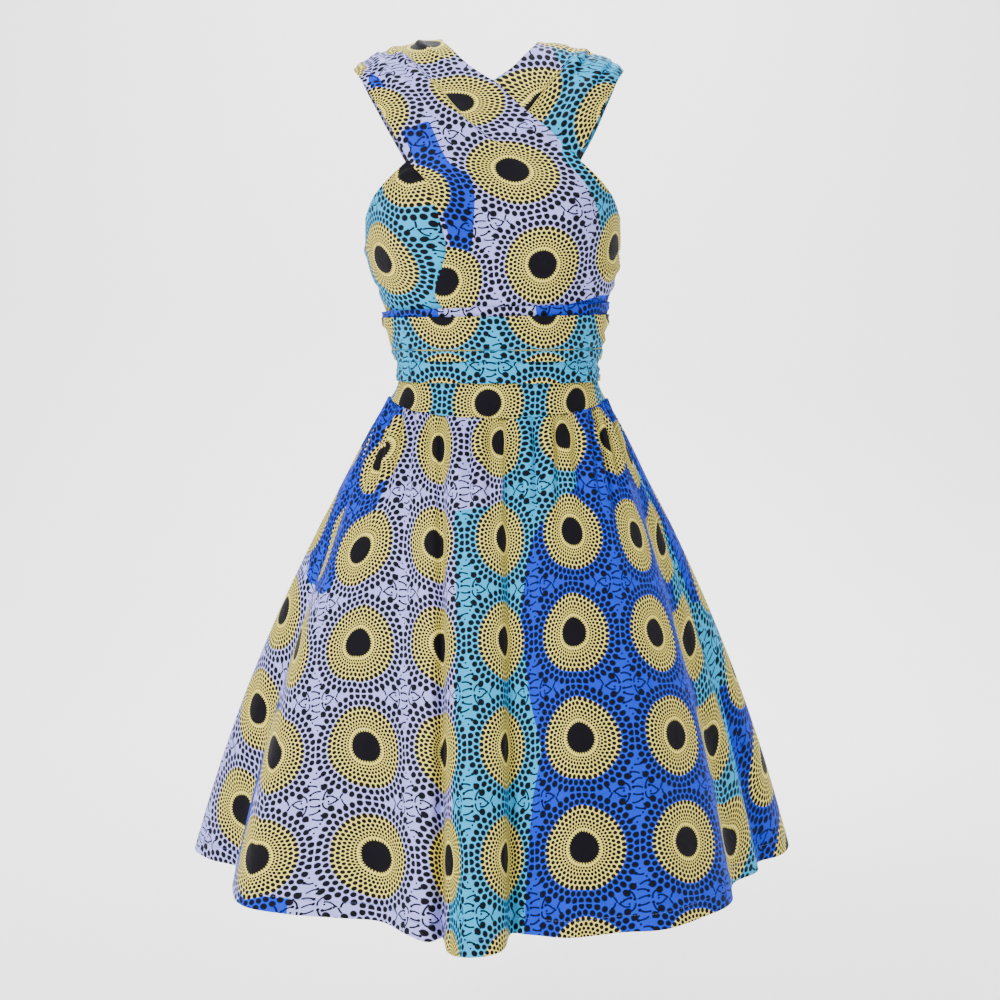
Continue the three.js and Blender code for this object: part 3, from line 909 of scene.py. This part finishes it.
def add_lights():
    add_light("key", (-2.0, -2.9, 1.5), (0, 0, -0.45), 1.1, 165)
    add_light("fill", (2.4, -2.6, 0.2), (0, 0, -0.5), 2.2, 26)
    add_light("back", (0.6, 2.6, 1.4), (0, 0, -0.5), 2.0, 70)
    add_light("paper", (0, 1.2, 3.4), (0, 5.0, 0.2), 4.0, 420)
    add_light("paper_low", (0, 3.0, 3.0), (0, 2.6, -1.3), 3.0, 160)
    world = bpy.data.worlds.new("studio")
    bpy.context.scene.world = world
    world.use_nodes = True
    sky = world.node_tree.nodes["Background"]
    sky.inputs["Color"].default_value = (1.0, 1.0, 1.0, 1)
    sky.inputs["Strength"].default_value = 0.5


# ---- skirt --------------------------------------------------------------------------
ROW = 464.0                  # run down the front from the seam to a row of discs
HEIGHTS = (20, 150, 260, 370, 480)

# Where the cloth of the front panel lies: for each place across the flat panel, the run
# across the folds at each of the five heights.
FRONT_PRINT = table(
    "place waist high middle low foot",
    (-660, -140, -90, -40, -20, 5),
    (-550, 30, 38, 66, 92, 118),
    (-440, 155, 155, 196, 234, 252),
    (-330, 299, 296, 330, 362, 385),
    (-275, 385, 385, 402, 418, 440),
    (-220, 473, 458, 479, 491, 506),
    (-172, 517, 517, 519, 519, 521),
    (-110, 570, 576, 576, 578, 574),
    (-70, 612, 613, 611, 611, 608),
    (0, 677, 677, 669, 671, 670),
    (110, 784, 812, 800, 803, 790),
    (165, 845, 862, 857, 858, 850),
    (220, 930, 950, 938, 922, 910),
    (275, 1000, 1018, 1004, 992, 980),
    (330, 1075, 1085, 1075, 1062, 1052),
    (440, 1170, 1180, 1180, 1180, 1180),
)
# How far the rows of discs hang lower on each part of the panel.
FRONT_SAG = table("run sag", (0, 28), (120, 28), (250, 57), (300, 38), (332, 22), (364, 15),
                  (385, 14), (480, 14), (573, 3), (671, 0), (800, 22), (860, 28), (920, 45),
                  (985, 20), (1070, -14), (1120, -14))


def skirt_layout(points, lie, sags):
    run = arc(points, 1)[int(points.shape[0] * 0.82)][None, :] + 0 * points[..., 0]
    down = arc(points, 0)
    lines = [np.interp(down, HEIGHTS, line) for line in
             zip(lie["waist"], lie["high"], lie["middle"], lie["low"], lie["foot"])]
    place = np.zeros_like(run)
    for k, (left, right) in enumerate(zip(lines, lines[1:])):
        here = mix(lie["place"][k], lie["place"][k + 1], (run - left) / (right - left))
        place = here if k == 0 else np.where(run >= left, here, place)
    sag = np.interp(run, sags["run"], sags["sag"])
    return np.stack([place, down - ROW - sag], axis=-1)


def hem_wall(points):
    """The hem is turned up once, so the cloth is thicker there."""
    up = arc(points, 0)[-1:] - arc(points, 0)
    return WALL + 0.35 * (1 - soft(17, 18.5, up))


def skirt(name, folds, pitch, rise, cols, rows, lie, sags, patches, creases):
    u, w = grid(np.linspace(0, 1, cols + 1), np.linspace(0, 1, rows + 1))
    v = w ** 1.15
    points = skirt_points(folds, pitch, rise, u, v)
    layout = skirt_layout(points, lie, sags)
    fields = grounds(patches, layout, u, v)
    points = raised(points, -1, ridges(u, v, (1150, 560), creases))
    up = arc(points, 0)[-1] - arc(points, 0)
    hem = int(np.argmin(np.abs(up.mean(axis=1) - 18)))
    stitches(name.replace("cloth", "hem_stitches"), points, -1, hem)
    piece = cloth(name, "print_aqua", points, -1, layout, fields, hem_wall(points), 0.1)
    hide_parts(name.replace("_cloth", ""))
    return piece


# Patches of each ground colour: corners by share of the width, from the wearer's right,
# and share of the drop.
FRONT_PATCHES = (
    ("lavender", ((-0.05, -0.1), (0.51, -0.1), (0.517, 0.08), (0.516, 0.17), (0.44, 0.19),
                  (0.442, 0.32), (0.443, 0.45), (0.439, 0.61), (0.438, 0.79), (0.431, 0.87),
                  (0.42, 1.1), (-0.05, 1.1))),
    ("blue", ((0.04, -0.05), (0.27, -0.05), (0.268, 0.07), (0.265, 0.15), (0.255, 0.22),
              (0.20, 0.32), (0.20, 0.375), (0.085, 0.40), (0.034, 0.27), (0.03, 0.13))),
    ("blue", ((0.175, 0.97), (0.233, 0.972), (0.236, 1.05), (0.17, 1.05))),
    ("blue", ((0.135, 0.62), (0.155, 0.62), (0.15, 0.80), (0.135, 1.05), (0.105, 1.05))),
    ("blue", ((0.60, -0.05), (0.61, 0.05), (0.664, 0.075), (0.651, 0.146), (0.57, 0.23),
              (0.558, 0.28), (0.548, 0.40), (0.558, 0.55), (0.573, 0.65), (0.56, 0.74),
              (0.552, 0.86), (0.545, 1.1), (0.825, 1.1), (0.85, 0.9), (0.86, 0.7),
              (0.87, 0.45), (0.90, 0.2), (0.93, -0.05))),
    ("blue", ((0.915, 0.10), (0.95, 0.0), (1.0, 0.3), (1.0, 0.50), (0.93, 0.44))),
    ("blue", ((0.925, 0.62), (0.99, 0.66), (1.05, 0.8), (1.05, 1.1), (0.915, 1.1))),
)


# Creases: place that each starts from and runs to, half width in mm and height in mm.
FRONT_CREASES = (
    (0.06, 0.0, 0.05, 0.18, 17, 3.3), (0.115, 0.0, 0.10, 0.30, 14, -3.0),
    (0.165, 0.0, 0.17, 0.22, 14, 3.6), (0.215, 0.0, 0.21, 0.13, 14, -2.7),
    (0.262, 0.0, 0.255, 0.26, 17, 3.9), (0.305, 0.0, 0.30, 0.16, 12, -3.0),
    (0.345, 0.0, 0.35, 0.24, 17, 3.3), (0.405, 0.0, 0.40, 0.34, 17, -3.9),
    (0.43, 0.0, 0.435, 0.15, 12, 3.0), (0.475, 0.0, 0.47, 0.20, 14, 3.0),
    (0.52, 0.0, 0.53, 0.30, 17, -3.9), (0.555, 0.0, 0.565, 0.17, 14, 3.6),
    (0.60, 0.0, 0.595, 0.26, 14, 3.0), (0.64, 0.0, 0.65, 0.14, 12, -2.7),
    (0.69, 0.0, 0.70, 0.24, 17, 3.9), (0.735, 0.0, 0.75, 0.34, 17, -3.3),
    (0.78, 0.0, 0.79, 0.20, 14, 3.6), (0.835, 0.0, 0.83, 0.16, 14, -3.0),
    (0.88, 0.0, 0.90, 0.30, 17, 3.3), (0.94, 0.0, 0.95, 0.20, 14, -3.0),
    (0.62, 0.55, 0.60, 0.95, 26, 2.0), (0.70, 0.95, 0.72, 0.50, 24, -2.2),
    (0.28, 0.95, 0.30, 0.55, 22, 2.2), (0.33, 0.90, 0.31, 0.45, 20, -2.0),
)
BACK_CREASES = (
    (0.05, 0.0, 0.04, 0.20, 17, -3.0), (0.13, 0.0, 0.14, 0.26, 17, 3.6),
    (0.21, 0.0, 0.20, 0.15, 14, -2.7), (0.29, 0.0, 0.30, 0.30, 17, 3.6),
    (0.36, 0.0, 0.35, 0.18, 14, 3.0), (0.44, 0.0, 0.45, 0.24, 17, -3.3),
    (0.53, 0.0, 0.52, 0.32, 17, 3.6), (0.60, 0.0, 0.61, 0.16, 14, -3.0),
    (0.68, 0.0, 0.67, 0.28, 17, 3.3), (0.77, 0.0, 0.78, 0.20, 14, 3.0),
    (0.85, 0.0, 0.86, 0.26, 17, -3.3), (0.94, 0.0, 0.93, 0.18, 14, 3.0),
    (0.40, 0.95, 0.42, 0.50, 24, 2.2), (0.75, 0.50, 0.74, 0.95, 26, -2.0),
)

BACK_PRINT = table(
    "place waist high middle low foot",
    (-500, 20, 10, 0, -5, -10),
    (-100, 420, 412, 400, 396, 388),
    (300, 790, 800, 808, 812, 815),
    (800, 1310, 1305, 1300, 1300, 1300),
)
BACK_SAG = table("run sag", (0, 0), (400, 12), (800, -6), (1300, 4))

BACK_PATCHES = (
    ("blue", ((-0.05, -0.1), (0.10, -0.1), (0.12, 0.2), (0.09, 0.45), (0.14, 0.7),
              (0.12, 1.1), (-0.05, 1.1))),
    ("lavender", ((0.36, -0.1), (0.52, -0.1), (0.56, 0.25), (0.62, 0.5), (0.60, 0.8),
                  (0.64, 1.1), (0.33, 1.1), (0.36, 0.7), (0.31, 0.45), (0.35, 0.2))),
    ("blue", ((0.78, -0.1), (1.05, -0.1), (1.05, 0.55), (0.93, 0.58), (0.90, 1.1),
              (0.74, 1.1), (0.76, 0.7), (0.71, 0.45), (0.76, 0.2))),
)


# ---- straps, wraps and waistband ----------------------------------------------------
def tucked(u, v, end):
    """Share of a lengthwise tuck that lies under the cloth above it."""
    return soft(0.372, 0.388, v) * soft(0.04, 0.16, u) * (1 - soft(end - 0.22, end, u))


def strap(name, node, slot, rows, hand, layer, cols, across, pins, patches,
          creases, tuck=(0.0, 0.0)):
    u, v = grid(np.linspace(0, 1, cols + 1), np.linspace(0, 1, across + 1))
    points = strap_points(rows, hand, layer, u, v)
    coarse = grid(np.linspace(0, 1, 37), np.linspace(0, 1, 15))
    lie = finer(lay_flat(strap_points(rows, hand, layer, *coarse)), u, v)
    lie[..., 0] += tuck[0] * tucked(u, v, tuck[1])
    layout = pin(lie, u, v, pins)
    fields = grounds(patches, layout, u, v)
    side = -hand * np.sign(rows["neckDrop"][1])
    under = tucked(u, 1.0 + 0 * v, tuck[1]) - tucked(u, v, tuck[1])
    fold = 0.04 * tuck[0] * soft(0.30, 0.372, v) * under
    points = raised(points, side, ridges(u, v, (510, 190), creases) + fold)
    piece = cloth(name, slot, points, side, layout, fields)
    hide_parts(node)
    return piece


# Where printed discs lie: share of the length, share of the width, disc along and across.
OVER_PINS = ((0.460, 0.483, 0, 0), (0.775, 0.575, 1, 0), (0.270, 0.355, -1, 0),
             (0.065, 0.158, -2, 0), (0.215, 1.0, -1, 0.86), (0.463, 1.0, 0, 0.79),
             (0.735, 0.958, 1, 1), (0.860, 0.308, 1.02, -0.88), (0.530, 0.0, 0.18, -0.72))
UNDER_PINS = ((0.487, 0.117, 0, 0), (0.870, 0.375, 1, 0), (0.253, 0.350, -1, -0.16),
              (0.253, 0.410, -1, 0.18), (0.007, 0.208, -1.8, 0), (0.200, 1.0, -1, 0.88))

OVER_CREASES = (
    (0.98, 0.40, 0.72, 0.70, 7, 2.4), (0.99, 0.55, 0.80, 0.80, 6, 2.1),
    (0.99, 0.25, 0.84, 0.42, 7, -1.8), (0.02, 0.20, 0.22, 0.12, 5, 2.1),
    (0.02, 0.45, 0.30, 0.60, 6, -2.1), (0.02, 0.62, 0.24, 0.72, 5, 2.4),
    (0.02, 0.85, 0.18, 0.80, 5, -1.8), (0.45, 0.90, 0.62, 0.98, 7, 1.8),
)
UNDER_CREASES = (
    (0.98, 0.30, 0.78, 0.18, 7, 2.1), (0.99, 0.60, 0.78, 0.62, 7, -2.0),
    (0.50, 0.12, 0.62, 0.10, 7, 2.8), (0.50, 0.22, 0.66, 0.30, 7, -2.2),
    (0.02, 0.25, 0.30, 0.30, 5, 2.0), (0.02, 0.50, 0.36, 0.55, 6, -2.2),
    (0.02, 0.75, 0.28, 0.70, 5, 2.1),
)
STRAP_CREASES = (
    (0.02, 0.25, 0.40, 0.30, 5, 1.8), (0.02, 0.55, 0.45, 0.50, 6, -2.0),
    (0.02, 0.80, 0.35, 0.74, 5, 1.8), (0.98, 0.40, 0.65, 0.60, 7, 2.0),
)

OVER_PATCHES = (
    ("blue", ((0.288, 0.91), (0.285, 0.77), (0.305, 0.65), (0.393, 0.74), (0.458, 0.72),
              (0.52, 0.76), (0.633, 0.875), (0.675, 0.89), (0.628, 1.02), (0.54, 1.03),
              (0.48, 1.03), (0.385, 0.96))),
    ("blue", ((0.103, 0.88), (0.128, 0.80), (0.18, 0.81), (0.19, 0.92), (0.147, 1.03),
              (0.10, 1.03))),
    ("aqua", ((0.44, -0.03), (0.46, 0.14), (0.495, 0.14), (0.575, 0.205), (0.66, 0.25),
              (0.82, 0.33), (0.90, 0.45), (1.02, 0.45), (1.02, -0.03))),
    ("blue", ((0.84, 1.03), (0.873, 0.80), (0.895, 0.73), (0.92, 0.66), (0.955, 0.60),
              (1.03, 0.5), (1.03, 1.03))),
)
UNDER_PATCHES = (
    ("lavender", ((-0.02, -0.02), (-0.02, 0.22), (0.085, 0.21), (0.13, 0.325), (0.182, 0.40),
                  (0.24, 0.458), (0.285, 0.43), (0.26, 0.26), (0.23, -0.02))),
)
UNDERBUST_PATCHES = (
    ("blue", ((-0.02, -0.6), (0.36, -0.6), (0.37, 0.3), (0.36, 1.5), (-0.02, 1.5))),
    ("blue", ((0.60, -0.6), (1.02, -0.6), (1.02, 1.5), (0.595, 1.5))),
)
CROSS_PATCHES = (
    ("blue", ((-0.02, -0.1), (0.20, -0.1), (0.26, 0.4), (0.22, 1.1), (-0.02, 1.1))),
)


WRAP_CREASES = (
    (0.01, 0.15, 0.16, 0.20, 3.0, 1.5), (0.01, 0.40, 0.12, 0.48, 2.5, -1.2),
    (0.01, 0.62, 0.20, 0.66, 3.0, 1.5), (0.01, 0.86, 0.13, 0.80, 2.5, 1.2),
    (0.99, 0.20, 0.82, 0.16, 3.0, 1.5), (0.99, 0.38, 0.88, 0.44, 2.5, -1.2),
    (0.99, 0.60, 0.78, 0.58, 3.0, 1.6), (0.99, 0.84, 0.85, 0.78, 2.5, 1.3),
)


def wrap(name, slot, w, cols, across, start, patches=(), tuck=None):
    """tuck: share of the width at which the cloth folds under, and the print's new start."""
    u, v = grid(np.linspace(0, 1, cols + 1), np.linspace(0, 1, across + 1))
    points = wrap_points(w, u, v)
    down = arc(points, 0)
    place = down + start[1]
    if tuck:
        below = v > tuck[0]
        place = np.where(below, down - down[np.argmax(below[:, 0])] + tuck[1], place)
    layout = np.stack([centred(points) + start[0], place], axis=-1)
    fields = grounds(patches, layout, u, v)
    side = -np.sign(w["ends"][1] - w["ends"][0])
    points = raised(points, side, ridges(u, v, (390, 60), WRAP_CREASES))
    piece = cloth(name + "_cloth", slot, points, side, layout, fields)
    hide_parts(name)
    return piece


def band(name, ends, cols, start):
    u, v = grid(np.linspace(0, 1, cols + 1), np.linspace(0, 1, 15))
    points = band_points(ends, u, v)
    layout = np.stack([(centred(points) + start[0]) * 1.08, arc(points, 0) + start[1]], axis=-1)
    piece = cloth(name + "_cloth", "print_aqua", points, -1, layout)
    stitches(name + "_top_stitches", points, -1, 1)
    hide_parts(name)
    return piece


add_camera()
add_floor()
add_lights()
skirt("skirt_front_cloth", FRONT_FOLDS, 9.6, 3.6, 380, 112, FRONT_PRINT, FRONT_SAG, FRONT_PATCHES,
      FRONT_CREASES)
skirt("skirt_back_cloth", BACK_FOLDS, 13, 3.4, 300, 88, BACK_PRINT, BACK_SAG, BACK_PATCHES,
      BACK_CREASES)
strap("strap_right_front_cloth", "strap_right_front", "print_lavender", STRAP_FRONT, 1, 1.04,
      150, 64, OVER_PINS, OVER_PATCHES,
      OVER_CREASES, (28.0, 0.44))
strap("strap_left_front_cloth", "strap_left_front", "print_aqua", STRAP_FRONT, -1, 0,
      150, 64, UNDER_PINS, UNDER_PATCHES,
      UNDER_CREASES, (34.0, 0.46))
strap("strap_right_back_cloth", "strap_right_back", "print_lavender", STRAP_BACK, 1, 1,
      80, 40, ((0.2, 0.5, 0, 0), (0.56, 0.5, 1, 0)), (),
      STRAP_CREASES)
strap("strap_left_back_cloth", "strap_left_back", "print_aqua", STRAP_BACK, -1, 0,
      80, 40, ((0.1, 0.45, 0, 0), (0.48, 0.5, 1, 0)), (), STRAP_CREASES)
wrap("wrap_underbust_front", "print_lavender", WRAPS["wrap_underbust_front"], 150, 12,
     (-207, -54), UNDERBUST_PATCHES)
wrap("wrap_upper_front", "print_aqua", WRAPS["wrap_upper_front"], 160, 26,
     (-144, 6), (), (0.76, -44))
wrap("wrap_lower_front", "print_aqua", WRAPS["wrap_lower_front"], 160, 16,
     (-126, -66))
wrap("wrap_cross_over_back", "print_aqua", WRAPS["wrap_cross_over_back"], 130, 44,
     (-60, -40), CROSS_PATCHES)
wrap("wrap_cross_under_back", "print_lavender", WRAPS["wrap_cross_under_back"], 130, 44,
     (-20, -70))
wrap("wrap_upper_end_back", "print_aqua", WRAPS["wrap_upper_end_back"], 70, 22,
     (-10, -20))
wrap("wrap_lower_end_back", "print_aqua", WRAPS["wrap_lower_end_back"], 110, 16,
     (-70, -52))
band("waistband_front", (-96.9, 96.9), 150, (-169, -34))
band("waistband_back", (97.1, 262.9), 130, (-60, -20))
